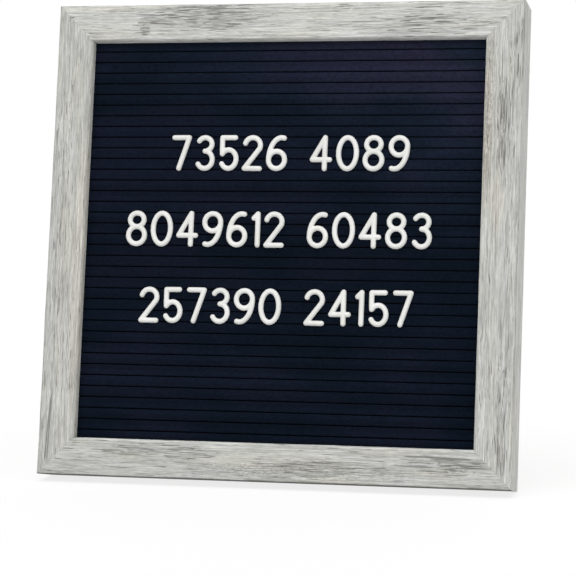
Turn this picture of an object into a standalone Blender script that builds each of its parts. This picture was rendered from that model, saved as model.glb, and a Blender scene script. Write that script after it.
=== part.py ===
"""Felt letter board with a mitred wooden frame, plain numerals and a fold-out easel leg.

Metres, +Z up. The board faces -Y and leans back on its bottom rear edge and on the leg's foot.
Every piece of the board is drawn upright in the board's own axes, X across, Y from the front
face towards the back, Z up from the bottom edge, and one empty then leans them all back.
The leg and its hinge leaf are drawn folded, around the hinge pin, and a second empty on the
pin's axis opens them.
"""

import math

import bmesh
import bpy
from mathutils import Vector

# The stance.
LEAN = math.radians(10.0)
LEG_OPENING = math.radians(18.5)

# The frame: four rails of one moulding, mitred at 45 degrees.
FRAME_SIDE = 0.254
RAIL_WIDTH = 0.020
EDGE_ROUND = 0.0012
SIGHT_CHAMFER = 0.0010
LIP_DEPTH = 0.0050
RABBET_WIDTH = 0.0060

# The sheets that lie in the rabbet, from the front, and how far the last one sits in.
PANEL_THICKNESS = 0.0070
FILLER_THICKNESS = 0.0061
BACK_THICKNESS = 0.0030
BACK_INSET = 0.0030

# Clearances: between faces that meet, and from a sheet's edge to the rabbet's wall.
SEAT_GAP = 0.0003
SHEET_CLEARANCE = 0.0005

# The grooves across the felt panel.
GROOVE_PITCH = 0.00585
GROOVE_WIDTH = 0.0011
GROOVE_DEPTH = 0.0035
RIB_ROUND = 0.0005

# The moulded numerals, which push into the grooves.
NUMERAL_HEIGHT = 0.0194
STROKE_WIDTH = 0.0028
STROKE_RISE = 0.0017
STROKE_SKIRT = 0.0001
STROKE_STEP = 0.03
NUMERAL_GAP = 0.0019
WORD_SPACE = 0.0122
WORD_SPACE_OFFSET = 0.0084
PRONG_THICKNESS = 0.0005
PRONG_WIDTH = 0.0018
PRONG_LENGTH = 0.0026
GROOVES_SPANNED = 3
NUMERAL_WIDTHS = {
    "0": 0.0124, "1": 0.0050, "2": 0.0112, "3": 0.0112, "4": 0.0122,
    "5": 0.0112, "6": 0.0116, "7": 0.0110, "8": 0.0118, "9": 0.0116,
}
# Each row: its height above the board's middle in groove pitches, and the groups of numerals
# to the left and right of the word space.
ROWS = ((8, "73526", "4089"), (1, "8049612", "60483"), (-6, "257390", "24157"))

# Steel V-nails that pull the mitres together from behind.
V_NAIL_WING = 0.0045
V_NAIL_SHEET = 0.0006
V_NAIL_DEPTH = 0.0100
V_NAIL_SUNK = 0.0003

# Flat steel points that hold the back board in.
POINT_WIDTH = 0.0080
POINT_SHEET = 0.0005
POINT_IN_WOOD = 0.0050
POINT_OVER_BOARD = 0.0070
POINT_SPREAD = 0.0600

# The sawtooth hanger behind the top rail, and its two nails.
HANGER_LENGTH = 0.0440
HANGER_HEIGHT = 0.0080
HANGER_SHEET = 0.0008
HANGER_FOOT = 0.0085
HANGER_RAMP = 0.0030
HANGER_RAISE = 0.0016
HANGER_TOOTH = 0.0022
HANGER_TOOTH_DEPTH = 0.0016
NAIL_RADIUS = 0.0006
NAIL_HEAD_RADIUS = 0.0015
NAIL_HEAD_THICKNESS = 0.0006
NAIL_LENGTH = 0.0090

# The hinge between the back board and the leg.
HINGE_HEIGHT = 0.1750
HINGE_WIDTH = 0.0200
CENTRE_KNUCKLE = 0.0080
KNUCKLE_RADIUS = 0.0023
PIN_RADIUS = 0.0010
PIN_HEAD_RADIUS = 0.0017
PIN_HEAD_THICKNESS = 0.0005
LEAF_SHEET = 0.0008
LEAF_LENGTH = 0.0180
SCREW_SPREAD = 0.0060
SCREW_FROM_PIN = 0.0115
SCREW_RADIUS = 0.0009
SCREW_HEAD_RADIUS = 0.0018
SCREW_LENGTH = 0.0035

# The leg.
LEG_THICKNESS = 0.0030
LEG_TOP_WIDTH = 0.0400
LEG_FOOT_WIDTH = 0.0640
LEG_FOOT_ROUND = 0.0050
EAR_LENGTH = 0.0080
EAR_ROUND = 0.0025
NOTCH_CLEARANCE = 0.0016

# What follows from the sizes above.
PANEL_FRONT = LIP_DEPTH + SEAT_GAP
FILLER_FRONT = PANEL_FRONT + PANEL_THICKNESS + SEAT_GAP
BACK_FRONT = FILLER_FRONT + FILLER_THICKNESS + SEAT_GAP
BACK_FACE = BACK_FRONT + BACK_THICKNESS
FRAME_DEPTH = BACK_FACE + BACK_INSET
MIDDLE = FRAME_SIDE / 2
WOOD_BEHIND = RAIL_WIDTH - RABBET_WIDTH
SHEET_HALF = MIDDLE - WOOD_BEHIND - SHEET_CLEARANCE
PIN_DEPTH = BACK_FACE + SEAT_GAP + KNUCKLE_RADIUS
BORE_RADIUS = PIN_RADIUS + SEAT_GAP
LEG_INNER = LEAF_SHEET + SEAT_GAP - KNUCKLE_RADIUS
LEG_OUTER = LEG_INNER + LEG_THICKNESS
LEG_SLOPE = LEG_OPENING - LEAN
GROUND = -FRAME_DEPTH * math.sin(LEAN)
PIN_ABOVE_GROUND = HINGE_HEIGHT * math.cos(LEAN) - PIN_DEPTH * math.sin(LEAN) - GROUND

COLOURS = {
    "whitewashed wood": ((0.50, 0.49, 0.46), 0.62, 0.0),
    "felt": ((0.008, 0.010, 0.018), 0.95, 0.0),
    "white plastic": ((0.74, 0.74, 0.72), 0.35, 0.0),
    "grey board": ((0.30, 0.28, 0.25), 0.85, 0.0),
    "hardboard": ((0.19, 0.12, 0.07), 0.70, 0.0),
    "zinc-plated steel": ((0.56, 0.57, 0.58), 0.35, 1.0),
}


def empty_scene():
    for item in list(bpy.data.objects):
        bpy.data.objects.remove(item)


def make_materials():
    materials = {}
    for name, (colour, roughness, metallic) in COLOURS.items():
        material = bpy.data.materials.new(name)
        material.use_nodes = True
        shader = material.node_tree.nodes["Principled BSDF"]
        shader.inputs["Base Color"].default_value = (*colour, 1.0)
        shader.inputs["Roughness"].default_value = roughness
        shader.inputs["Metallic"].default_value = metallic
        materials[name] = material
    return materials


def add_empty(name, parent=None, location=(0, 0, 0), turn=0.0):
    empty = bpy.data.objects.new(name, None)
    bpy.context.scene.collection.objects.link(empty)
    empty.parent = parent
    empty.location = location
    empty.rotation_euler = (turn, 0, 0)
    return empty


def to_object(name, bm, material, parent, smooth=False):
    """Puts a finished bmesh into a named object under its parent."""
    bmesh.ops.recalc_face_normals(bm, faces=bm.faces)
    mesh = bpy.data.meshes.new(name)
    bm.to_mesh(mesh)
    bm.free()
    return place_mesh(name, mesh, material, parent, smooth)


def place_mesh(name, mesh, material, parent, smooth=False):
    if material and not mesh.materials:
        mesh.materials.append(material)
    if smooth:
        mesh.shade_smooth()
        mesh.set_sharp_from_angle(angle=math.radians(40))
    item = bpy.data.objects.new(name, mesh)
    item.parent = parent
    bpy.context.scene.collection.objects.link(item)
    return item


def combine(target, other, operation):
    """Applies one Boolean to the target's mesh and removes the other object."""
    modifier = target.modifiers.new(operation.lower(), "BOOLEAN")
    modifier.operation = operation
    modifier.object = other
    bpy.context.view_layer.update()
    graph = bpy.context.evaluated_depsgraph_get()
    mesh = bpy.data.meshes.new_from_object(target.evaluated_get(graph))
    target.modifiers.remove(modifier)
    mesh.name = target.data.name
    target.data = mesh
    bpy.data.objects.remove(other)


def prism(outline, start, end, axis):
    """A closed outline pushed along one axis, as a bmesh.

    The outline's pairs are the other two axes, in the order X, Y, Z.
    """
    bm = bmesh.new()
    place = "XYZ".index(axis)
    corners = [(*pair[:place], start, *pair[place:]) for pair in outline]
    face = bm.faces.new([bm.verts.new(corner) for corner in corners])
    pushed = bmesh.ops.extrude_face_region(bm, geom=[face])
    moved = [item for item in pushed["geom"] if isinstance(item, bmesh.types.BMVert)]
    step = Vector([end - start if letter == axis else 0.0 for letter in "XYZ"])
    bmesh.ops.translate(bm, verts=moved, vec=step)
    return bm


def block(low, high):
    outline = [(low[0], low[1]), (high[0], low[1]), (high[0], high[1]), (low[0], high[1])]
    return prism(outline, low[2], high[2], "Z")


def slice_off(bm, point, outwards):
    """Cuts away what lies beyond a plane and closes the cut."""
    everything = bm.verts[:] + bm.edges[:] + bm.faces[:]
    cut = bmesh.ops.bisect_plane(bm, geom=everything, plane_co=point, plane_no=outwards, clear_outer=True)
    edges = [item for item in cut["geom_cut"] if isinstance(item, bmesh.types.BMEdge)]
    bmesh.ops.triangle_fill(bm, edges=edges, use_beauty=True, use_dissolve=True)


def turned(profile, segments, centre, axis="Y"):
    """A round solid from (distance along the axis, radius) pairs, closed at both ends."""
    bm = bmesh.new()
    rings = []
    for along, radius in profile:
        ring = []
        for step in range(segments if radius else 1):
            angle = math.tau * step / segments
            across = (radius * math.cos(angle), radius * math.sin(angle))
            point = (across[0], along, across[1]) if axis == "Y" else (along, across[0], across[1])
            ring.append(bm.verts.new(Vector(point) + Vector(centre)))
        rings.append(ring)
    join_rings(bm, rings, closed_ring=True)
    return bm


def join_rings(bm, rings, closed_ring, closed_path=False):
    """Skins a row of rings; a ring of one vertex is a pole, and the end rings get caps."""
    pairs = list(zip(rings, rings[1:]))
    if closed_path:
        pairs.append((rings[-1], rings[0]))
    for ring_a, ring_b in pairs:
        count = max(len(ring_a), len(ring_b))
        for step in range(count):
            following = (step + 1) % count
            corners = []
            for ring, places in ((ring_a, (step, following)), (ring_b, (following, step))):
                corners += [ring[0]] if len(ring) == 1 else [ring[place] for place in places]
            bm.faces.new(corners)
    if not closed_path:
        for ring in (rings[0], rings[-1]):
            if len(ring) > 2:
                bm.faces.new(ring)


def arc(centre, radii, start, end, steps):
    """Points on an ellipse from one angle to another, in degrees."""
    points = []
    for step in range(steps + 1):
        angle = math.radians(start + (end - start) * step / steps)
        points.append((centre[0] + radii[0] * math.cos(angle), centre[1] + radii[1] * math.sin(angle)))
    return points


def rounded(corners, radii, steps=3):
    """An outline or a path whose corners are replaced by arcs of the given radii."""
    points = []
    count = len(corners)
    for place, radius in enumerate(radii):
        corner = Vector(corners[place])
        if not radius:
            points.append(tuple(corner))
            continue
        to_last = (Vector(corners[place - 1]) - corner).normalized()
        to_next = (Vector(corners[(place + 1) % count]) - corner).normalized()
        half = to_last.angle(to_next) / 2
        middle = corner + (to_last + to_next).normalized() * radius / math.sin(half)
        first = corner + to_last * radius / math.tan(half) - middle
        last = corner + to_next * radius / math.tan(half) - middle
        sweep = first.angle_signed(last)
        for step in range(steps + 1):
            angle = -sweep * step / steps
            turned_x = first.x * math.cos(angle) - first.y * math.sin(angle)
            turned_y = first.x * math.sin(angle) + first.y * math.cos(angle)
            points.append((middle.x + turned_x, middle.y + turned_y))
    return points


def rail_profile():
    """The moulding's section: (distance in from the outer edge, distance back from the face)."""
    round_over = arc((EDGE_ROUND, EDGE_ROUND), (EDGE_ROUND, EDGE_ROUND), 180, 270, 4)
    chamfer = [(RAIL_WIDTH - SIGHT_CHAMFER, 0.0), (RAIL_WIDTH, SIGHT_CHAMFER)]
    rabbet = [(RAIL_WIDTH, LIP_DEPTH), (WOOD_BEHIND, LIP_DEPTH), (WOOD_BEHIND, FRAME_DEPTH)]
    return [(0.0, FRAME_DEPTH)] + round_over + chamfer + rabbet


SIDES = ("bottom", "right", "top", "left")


def on_side(side, along, inwards, depth):
    """A place on one rail, from its middle, its outer edge and its face, in the board's axes."""
    across, up = along, inwards - MIDDLE
    for _ in range(SIDES.index(side)):
        across, up = -up, across
    return Vector((across, depth, MIDDLE + up))


def make_rail(side, material, parent):
    bm = bmesh.new()
    cut_back = SEAT_GAP / math.sqrt(2)
    ends = []
    for sign in (-1, 1):
        end = []
        for inwards, depth in rail_profile():
            along = sign * (MIDDLE - inwards - cut_back)
            end.append(bm.verts.new(on_side(side, along, inwards, depth)))
        ends.append(end)
    join_rings(bm, ends, closed_ring=True)
    return to_object(f"frame_rail_{side}", bm, material, parent)


def v_nail_outline(grow=0.0):
    """A V over the mitre, seen from the back: (along, inwards) about the corner's mitre line.

    grow widens it on every side for the slot.
    """
    half = V_NAIL_SHEET / 2 + grow
    wing = V_NAIL_WING + grow
    centre = WOOD_BEHIND / 2
    apex = [(centre - half, centre - half)]
    along_wing = [(centre + wing, centre - half), (centre + wing, centre + half)]
    inner = [(centre + half, centre + half)]
    up_wing = [(centre + half, centre + wing), (centre - half, centre + wing)]
    return apex + along_wing + inner + up_wing


def v_nail_solid(side, grow=0.0):
    """The V-nail at the end where this rail starts, or the slot for it."""
    start = FRAME_DEPTH - V_NAIL_SUNK - V_NAIL_DEPTH - grow
    end = FRAME_DEPTH + EDGE_ROUND if grow else FRAME_DEPTH - V_NAIL_SUNK
    bm = bmesh.new()
    rings = []
    for depth in (start, end):
        ring = []
        for along, inwards in v_nail_outline(grow):
            ring.append(bm.verts.new(on_side(side, along - MIDDLE, inwards, depth)))
        rings.append(ring)
    join_rings(bm, rings, closed_ring=True)
    return bm


def point_solid(side, along, grow=0.0):
    """A flat pointed tab half in the wood and half over the back board, or the slot for it."""
    half = POINT_WIDTH / 2 + grow
    tip = WOOD_BEHIND - POINT_IN_WOOD - grow
    shoulder = WOOD_BEHIND - POINT_IN_WOOD / 2
    end = WOOD_BEHIND + POINT_OVER_BOARD
    left = [(-half, end), (-half, shoulder), (-half / 3, tip)]
    outline = left + [(-across, inwards) for across, inwards in reversed(left)]
    front = BACK_FACE + SEAT_GAP - grow
    bm = bmesh.new()
    rings = []
    for depth in (front, BACK_FACE + SEAT_GAP + POINT_SHEET + grow):
        places = [on_side(side, along + across, inwards, depth) for across, inwards in outline]
        rings.append([bm.verts.new(place) for place in places])
    join_rings(bm, rings, closed_ring=True)
    return bm


# Each point's rail, its place along it in steps, and what its name ends with.
POINT_PLACES = (
    ("top", 0, ""), ("bottom", 0, ""),
    ("left", -1, "_upper"), ("left", 1, "_lower"),
    ("right", -1, "_lower"), ("right", 1, "_upper"),
)


def make_frame(materials, board):
    wood = materials["whitewashed wood"]
    steel = materials["zinc-plated steel"]
    rails = {side: make_rail(side, wood, board) for side in SIDES}
    corners = (("bottom", "left"), ("right", "bottom"), ("top", "right"), ("left", "top"))
    for side, neighbour in corners:
        for rail in (side, neighbour):
            slot = to_object("v_nail_slot", v_nail_solid(side, SEAT_GAP), None, board)
            combine(rails[rail], slot, "DIFFERENCE")
        corner = "_".join(sorted((side, neighbour), key=lambda name: name in ("left", "right")))
        to_object(f"v_nail_{corner}", v_nail_solid(side), steel, board)
    for side, step, ending in POINT_PLACES:
        along = step * POINT_SPREAD
        slot = to_object("point_slot", point_solid(side, along, SEAT_GAP), None, board)
        combine(rails[side], slot, "DIFFERENCE")
        to_object(f"retainer_point_{side}{ending}", point_solid(side, along), steel, board)


def groove_heights():
    """Every groove that fits whole on the panel, from the bottom, measured from the board's middle."""
    count = int((SHEET_HALF - GROOVE_PITCH / 2) / GROOVE_PITCH + 0.5)
    return [(step + 0.5) * GROOVE_PITCH for step in range(-count, count)]


def panel_profile():
    """The felt panel's section: (distance back, height), with a slot between rounded ribs."""
    front = PANEL_FRONT
    points = [(front, MIDDLE - SHEET_HALF)]
    half = GROOVE_WIDTH / 2
    for groove in groove_heights():
        height = MIDDLE + groove
        lower = arc((front + RIB_ROUND, height - half - RIB_ROUND), (RIB_ROUND, RIB_ROUND), 180, 90, 2)
        upper = arc((front + RIB_ROUND, height + half + RIB_ROUND), (RIB_ROUND, RIB_ROUND), 270, 180, 2)
        floor = [(front + GROOVE_DEPTH, height - half), (front + GROOVE_DEPTH, height + half)]
        points += lower + floor + upper
    back = front + PANEL_THICKNESS
    low, high = MIDDLE - SHEET_HALF, MIDDLE + SHEET_HALF
    return points + [(front, high), (back, high), (back, low)]


def make_sheets(materials, board):
    bm = prism(panel_profile(), -SHEET_HALF, SHEET_HALF, "X")
    to_object("felt_panel", bm, materials["felt"], board, smooth=True)
    low, high = MIDDLE - SHEET_HALF, MIDDLE + SHEET_HALF
    filler = block((-SHEET_HALF, FILLER_FRONT, low), (SHEET_HALF, FILLER_FRONT + FILLER_THICKNESS, high))
    to_object("filler_sheet", filler, materials["grey board"], board)
    back = block((-SHEET_HALF, BACK_FRONT, low), (SHEET_HALF, BACK_FACE, high))
    back_board = to_object("back_board", back, materials["hardboard"], board)
    reach = SCREW_RADIUS + SEAT_GAP
    hole_floor = BACK_FACE + LEAF_SHEET - SCREW_LENGTH
    for across in (-SCREW_SPREAD, SCREW_SPREAD):
        place = (across, 0.0, HINGE_HEIGHT + SCREW_FROM_PIN)
        hole = turned([(hole_floor, reach), (BACK_FACE + SEAT_GAP, reach)], 12, place)
        combine(back_board, to_object("screw_hole", hole, None, board), "DIFFERENCE")


def ridge(path, closed, size):
    """A half-round stroke along a path in X and Z, domed towards -Y, with a skirt past Y = 0.

    The skirt lets strokes be united first and then cut flat together. Each further stroke has a
    size a little smaller, so that it sinks into the others where they run side by side.
    """
    half = STROKE_WIDTH / 2 * size
    rise = (STROKE_RISE + STROKE_SKIRT) * size
    points = [Vector(point) for point in path]
    count = len(points)
    bm = bmesh.new()

    def ring(centre, normal, wide, tall):
        section = arc((0.0, STROKE_SKIRT), (wide, -tall), 0, 180, 4)
        section += [(-wide, STROKE_SKIRT + tall / 4), (wide, STROKE_SKIRT + tall / 4)]
        places = [(centre + normal * across, back) for across, back in section]
        return [bm.verts.new((place.x, back, place.y)) for place, back in places]

    rings = []
    for place, point in enumerate(points):
        before = points[place - 1] if closed or place > 0 else None
        after = points[(place + 1) % count] if closed or place < count - 1 else None
        into = (point - before).normalized() if before is not None else (after - point).normalized()
        out = (after - point).normalized() if after is not None else into
        forward = (into + out).normalized()
        normal = Vector((-forward.y, forward.x))
        mitred = half / max(0.5, forward.dot(out))
        rings.append(ring(point, normal, mitred, rise))
        if before is None or after is None:
            outwards = forward if after is None else -forward
            slant = math.sqrt(0.5)
            shoulder = ring(point + outwards * half * slant, normal, half * slant, rise * slant)
            tip = point + outwards * half
            pole = [bm.verts.new((tip.x, STROKE_SKIRT, tip.y))]
            rings = rings + [shoulder, pole] if after is None else [pole, shoulder] + rings
    join_rings(bm, rings, closed_ring=True, closed_path=closed)
    return bm


def numeral_strokes(digit):
    """The centrelines of one numeral about its middle: (points, whether it is a loop)."""
    wide = (NUMERAL_WIDTHS[digit] - STROKE_WIDTH) / 2
    tall = (NUMERAL_HEIGHT - STROKE_WIDTH) / 2
    bowl = tall * 0.56
    head = tall - bowl
    low_middle = (0, bowl - tall)
    if digit == "0":
        return [(arc((0, 0), (wide, tall), 0, 342, 19), True)]
    if digit == "1":
        return [([(wide, tall), (wide, -tall)], False), ([(-wide, tall * 0.72), (wide, tall)], False)]
    if digit == "2":
        top = arc((0, tall - wide), (wide, wide), 165, -24, 9)
        return [(top + [(-wide, -tall)], False), ([(-wide, -tall), (wide, -tall)], False)]
    if digit == "3":
        upper = arc((0, tall - head), (wide * 0.9, head), 150, -90, 9)
        return [(arc(low_middle, (wide, bowl), 90, -150, 10), False), (upper, False)]
    if digit == "4":
        stem = wide * 0.42
        bar = -tall * 0.42
        crossing = [([(stem, tall), (-wide, bar)], False), ([(-wide, bar), (wide, bar)], False)]
        return [([(stem, tall), (stem, -tall)], False)] + crossing
    if digit == "5":
        side = -wide * 0.84
        shelf = tall * 0.10
        flag = rounded([(wide * 0.85, tall), (side, tall), (side, shelf)], (0, STROKE_WIDTH * 0.6, 0))
        radius = (tall + shelf + head * 0.25) / 2
        return [(arc((0, radius - tall), (wide, radius), 146, -150, 12), False), (flag, False)]
    if digit in "69":
        hook = wide * 0.55
        tail = arc((hook, bowl - tall), (hook + wide, 2 * tall - bowl), 180, 78, 7)
        sign = 1 if digit == "6" else -1
        both = ((arc(low_middle, (wide, bowl), 0, 337.5, 15), True), (tail, False))
        return [([(sign * x, sign * z) for x, z in points], closed) for points, closed in both]
    if digit == "7":
        return [([(-wide, tall), (wide, tall)], False), ([(wide, tall), (-wide * 0.3, -tall)], False)]
    upper = arc((0, tall - head), (wide * 0.86, head), 0, 337.5, 15)
    return [(arc(low_middle, (wide, bowl), 0, 337.5, 15), True), (upper, True)]


def prong_places(digit):
    """Where the prongs stand across the numeral: (top, bottom)."""
    wide = (NUMERAL_WIDTHS[digit] - STROKE_WIDTH) / 2
    top = {"1": wide, "4": wide * 0.42, "6": wide * 0.55, "7": 0.0, "5": 0.0}.get(digit, 0.0)
    bottom = {"1": wide, "4": wide * 0.42, "7": -wide * 0.3, "9": -wide * 0.55}.get(digit, 0.0)
    return top, bottom


def make_numeral_mesh(digit, material):
    body = None
    for place, (points, closed) in enumerate(numeral_strokes(digit)):
        stroke = to_object("stroke", ridge(points, closed, 1.0 - place * STROKE_STEP), None, None)
        if body:
            combine(body, stroke, "UNION")
        body = body or stroke
    bm = bmesh.new()
    bm.from_mesh(body.data)
    slice_off(bm, (0, 0, 0), (0, 1, 0))
    bm.to_mesh(body.data)
    bm.free()
    half_span = GROOVES_SPANNED * GROOVE_PITCH / 2
    for across, height in zip(prong_places(digit), (half_span, -half_span)):
        low = (across - PRONG_WIDTH / 2, -STROKE_RISE / 3, height - PRONG_THICKNESS / 2)
        high = (across + PRONG_WIDTH / 2, PRONG_LENGTH, height + PRONG_THICKNESS / 2)
        combine(body, to_object("prong", block(low, high), None, None), "UNION")
    mesh = body.data
    bpy.data.objects.remove(body)
    mesh.name = f"numeral_{digit}"
    mesh.materials.clear()
    mesh.materials.append(material)
    return mesh


def make_numerals(materials, board):
    meshes = {digit: make_numeral_mesh(digit, materials["white plastic"]) for digit in NUMERAL_WIDTHS}
    for row, (pitches, left_group, right_group) in enumerate(ROWS, start=1):
        height = MIDDLE + pitches * GROOVE_PITCH
        left_width = sum(NUMERAL_WIDTHS[digit] + NUMERAL_GAP for digit in left_group) - NUMERAL_GAP
        starts = (WORD_SPACE_OFFSET - WORD_SPACE / 2 - left_width, WORD_SPACE_OFFSET + WORD_SPACE / 2)
        place = 0
        for group, across in zip((left_group, right_group), starts):
            for digit in group:
                place += 1
                width = NUMERAL_WIDTHS[digit]
                name = f"numeral_row{row}_{place:02d}"
                numeral = place_mesh(name, meshes[digit], None, board, smooth=True)
                numeral.location = (across + width / 2, PANEL_FRONT - SEAT_GAP, height)
                across += width + NUMERAL_GAP


def make_hanger(materials, board):
    """A toothed strip with two flat feet and a raised middle that a wall nail goes behind."""
    half = HANGER_LENGTH / 2
    flat = half - HANGER_FOOT - HANGER_RAMP
    teeth = int(2 * flat / HANGER_TOOTH)
    start = -teeth * HANGER_TOOTH / 2
    outline = [(-half, HANGER_HEIGHT), (-half, 0.0)]
    for tooth in range(teeth):
        outline.append((start + tooth * HANGER_TOOTH, 0.0))
        outline.append((start + (tooth + 0.5) * HANGER_TOOTH, HANGER_TOOTH_DEPTH))
    outline += [(-start, 0.0), (half, 0.0), (half, HANGER_HEIGHT)]
    bm = prism(outline, 0.0, HANGER_SHEET, "Y")
    for bend in (-flat - HANGER_RAMP, -flat, flat, flat + HANGER_RAMP):
        everything = bm.verts[:] + bm.edges[:] + bm.faces[:]
        bmesh.ops.bisect_plane(bm, geom=everything, plane_co=(bend, 0, 0), plane_no=(1, 0, 0))
    for vert in bm.verts:
        if abs(vert.co.x) < flat + HANGER_RAMP / 2:
            vert.co.y += HANGER_RAISE
    lift = Vector((0.0, FRAME_DEPTH + SEAT_GAP, FRAME_SIDE - (WOOD_BEHIND + HANGER_HEIGHT) / 2))
    bmesh.ops.translate(bm, verts=bm.verts, vec=lift)
    hanger = to_object("sawtooth_hanger", bm, materials["zinc-plated steel"], board)
    outside = lift.y + HANGER_SHEET
    reach = NAIL_RADIUS + SEAT_GAP
    shank = [(-NAIL_LENGTH, 0.0), (-NAIL_LENGTH + 2 * NAIL_RADIUS, NAIL_RADIUS), (SEAT_GAP, NAIL_RADIUS)]
    head = [(SEAT_GAP, NAIL_HEAD_RADIUS), (SEAT_GAP + NAIL_HEAD_THICKNESS / 2, NAIL_HEAD_RADIUS),
            (SEAT_GAP + NAIL_HEAD_THICKNESS, NAIL_HEAD_RADIUS * 0.6)]
    for side, sign in (("left", -1), ("right", 1)):
        place = (sign * (half - HANGER_FOOT / 2), outside, lift.z + HANGER_HEIGHT / 2)
        for pierced in (hanger, bpy.data.objects["frame_rail_top"]):
            hole = turned([(-NAIL_LENGTH - SEAT_GAP, reach), (2 * SEAT_GAP, reach)], 12, place)
            combine(pierced, to_object("nail_hole", hole, None, board), "DIFFERENCE")
        nail = turned(shank + head, 12, place)
        to_object(f"hanger_nail_{side}", nail, materials["zinc-plated steel"], board, smooth=True)


def screw_profile(grow=0.0):
    """A countersunk screw from its point to its head, which is flush at 0."""
    neck = -LEAF_SHEET
    shank = SCREW_RADIUS + grow
    head = SCREW_HEAD_RADIUS + grow
    if grow:
        return [(-SCREW_LENGTH, shank), (neck, shank), (0.0, head), (2 * SEAT_GAP, head)]
    return [(-SCREW_LENGTH, 0.0), (-SCREW_LENGTH + shank, shank), (neck, shank), (0.0, head)]


def leaf_solid(direction, has_centre_knuckle, name, material, parent, origin):
    """One hinge leaf, its plate tangent to the barrel and its knuckles cut from it."""
    half = HINGE_WIDTH / 2
    ends = sorted((0.0, direction * LEAF_LENGTH))
    back = -KNUCKLE_RADIUS
    place = Vector(origin)
    plate = block((-half, back, ends[0]), (half, back + LEAF_SHEET, ends[1]))
    bmesh.ops.translate(plate, verts=plate.verts, vec=place)
    leaf = to_object(name, plate, material, parent)
    barrel = turned([(-half, KNUCKLE_RADIUS), (half, KNUCKLE_RADIUS)], 20, origin, "X")
    combine(leaf, to_object("barrel", barrel, None, parent), "UNION")
    centre = CENTRE_KNUCKLE / 2
    beyond = half + SEAT_GAP
    reach = KNUCKLE_RADIUS + SEAT_GAP
    relief_ends = sorted((-direction * 2 * reach, direction * reach))
    spans = [(-centre - SEAT_GAP, centre + SEAT_GAP)]
    if has_centre_knuckle:
        spans = [(-beyond, -centre), (centre, beyond)]
    for start, end in spans:
        relief = block((start, -2 * reach, relief_ends[0]), (end, 2 * reach, relief_ends[1]))
        bmesh.ops.translate(relief, verts=relief.verts, vec=place)
        combine(leaf, to_object("relief", relief, None, parent), "DIFFERENCE")
    bore = turned([(-beyond, BORE_RADIUS), (beyond, BORE_RADIUS)], 16, origin, "X")
    combine(leaf, to_object("bore", bore, None, parent), "DIFFERENCE")
    return leaf


def make_hinge(materials, board, leg_turn):
    steel = materials["zinc-plated steel"]
    pin_place = (0.0, PIN_DEPTH, HINGE_HEIGHT)
    half = HINGE_WIDTH / 2
    board_leaf = leaf_solid(1, False, "hinge_leaf_board", steel, board, pin_place)
    leg_leaf = leaf_solid(-1, True, "hinge_leaf_leg", steel, leg_turn, (0.0, 0.0, 0.0))
    shaft = half + SEAT_GAP
    pin = [(-shaft - PIN_HEAD_THICKNESS, PIN_HEAD_RADIUS), (-shaft, PIN_HEAD_RADIUS), (-shaft, PIN_RADIUS),
           (shaft, PIN_RADIUS), (shaft, PIN_HEAD_RADIUS), (shaft + PIN_HEAD_THICKNESS, PIN_HEAD_RADIUS)]
    to_object("hinge_pin", turned(pin, 16, pin_place, "X"), steel, board, smooth=True)
    for side, sign in (("left", -1), ("right", 1)):
        across = sign * SCREW_SPREAD
        # On the board the head faces the back, and on the leg it faces the board.
        outside = PIN_DEPTH - KNUCKLE_RADIUS + LEAF_SHEET
        board_place = (across, outside, HINGE_HEIGHT + SCREW_FROM_PIN)
        sink = turned(screw_profile(SEAT_GAP), 12, board_place)
        combine(board_leaf, to_object("countersink", sink, None, board), "DIFFERENCE")
        screw = turned(screw_profile(), 12, board_place)
        to_object(f"hinge_screw_board_{side}", screw, steel, board, smooth=True)
        leg_place = (across, -KNUCKLE_RADIUS, -SCREW_FROM_PIN)
        sink = turned([(-along, radius) for along, radius in screw_profile(SEAT_GAP)], 12, leg_place)
        combine(leg_leaf, to_object("countersink", sink, None, leg_turn), "DIFFERENCE")
        screw = turned([(-along, radius) for along, radius in screw_profile()], 12, leg_place)
        to_object(f"hinge_screw_leg_{side}", screw, steel, leg_turn, smooth=True)


def make_leg(materials, leg_turn):
    """A tapered foot board, notched for the hinge between two ears that stop it as it opens."""
    top = EAR_LENGTH
    notch_half = HINGE_WIDTH / 2 + PIN_HEAD_THICKNESS + NOTCH_CLEARANCE
    notch_floor = -KNUCKLE_RADIUS - 3 * SEAT_GAP
    foot = -(PIN_ABOVE_GROUND + LEG_OUTER * math.sin(LEG_SLOPE)) / math.cos(LEG_SLOPE)
    corners = [(-LEG_TOP_WIDTH / 2, top), (-LEG_FOOT_WIDTH / 2, foot), (LEG_FOOT_WIDTH / 2, foot),
               (LEG_TOP_WIDTH / 2, top), (notch_half, top), (notch_half, notch_floor),
               (-notch_half, notch_floor), (-notch_half, top)]
    radii = (EAR_ROUND, LEG_FOOT_ROUND, LEG_FOOT_ROUND, EAR_ROUND, 0, 0, 0, 0)
    bm = prism(rounded(corners, radii), LEG_INNER, LEG_OUTER, "Y")

    # The foot is cut level with the ground, and the ears are cut flat to the back board.
    level = (0, -math.sin(LEG_SLOPE), -math.cos(LEG_SLOPE))
    slice_off(bm, (0, LEG_INNER, foot + LEG_THICKNESS * math.tan(LEG_SLOPE)), level)
    towards_board = (0, -math.cos(LEG_OPENING), math.sin(LEG_OPENING))
    slice_off(bm, (0, -KNUCKLE_RADIUS / math.cos(LEG_OPENING), 0), towards_board)
    leg = to_object("easel_leg", bm, materials["hardboard"], leg_turn)
    reach = SCREW_RADIUS + SEAT_GAP
    hole_floor = SCREW_LENGTH - KNUCKLE_RADIUS + SEAT_GAP
    for across in (-SCREW_SPREAD, SCREW_SPREAD):
        place = (across, 0.0, -SCREW_FROM_PIN)
        hole = turned([(LEG_INNER - SEAT_GAP, reach), (hole_floor, reach)], 12, place)
        combine(leg, to_object("screw_hole", hole, None, leg_turn), "DIFFERENCE")


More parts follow.
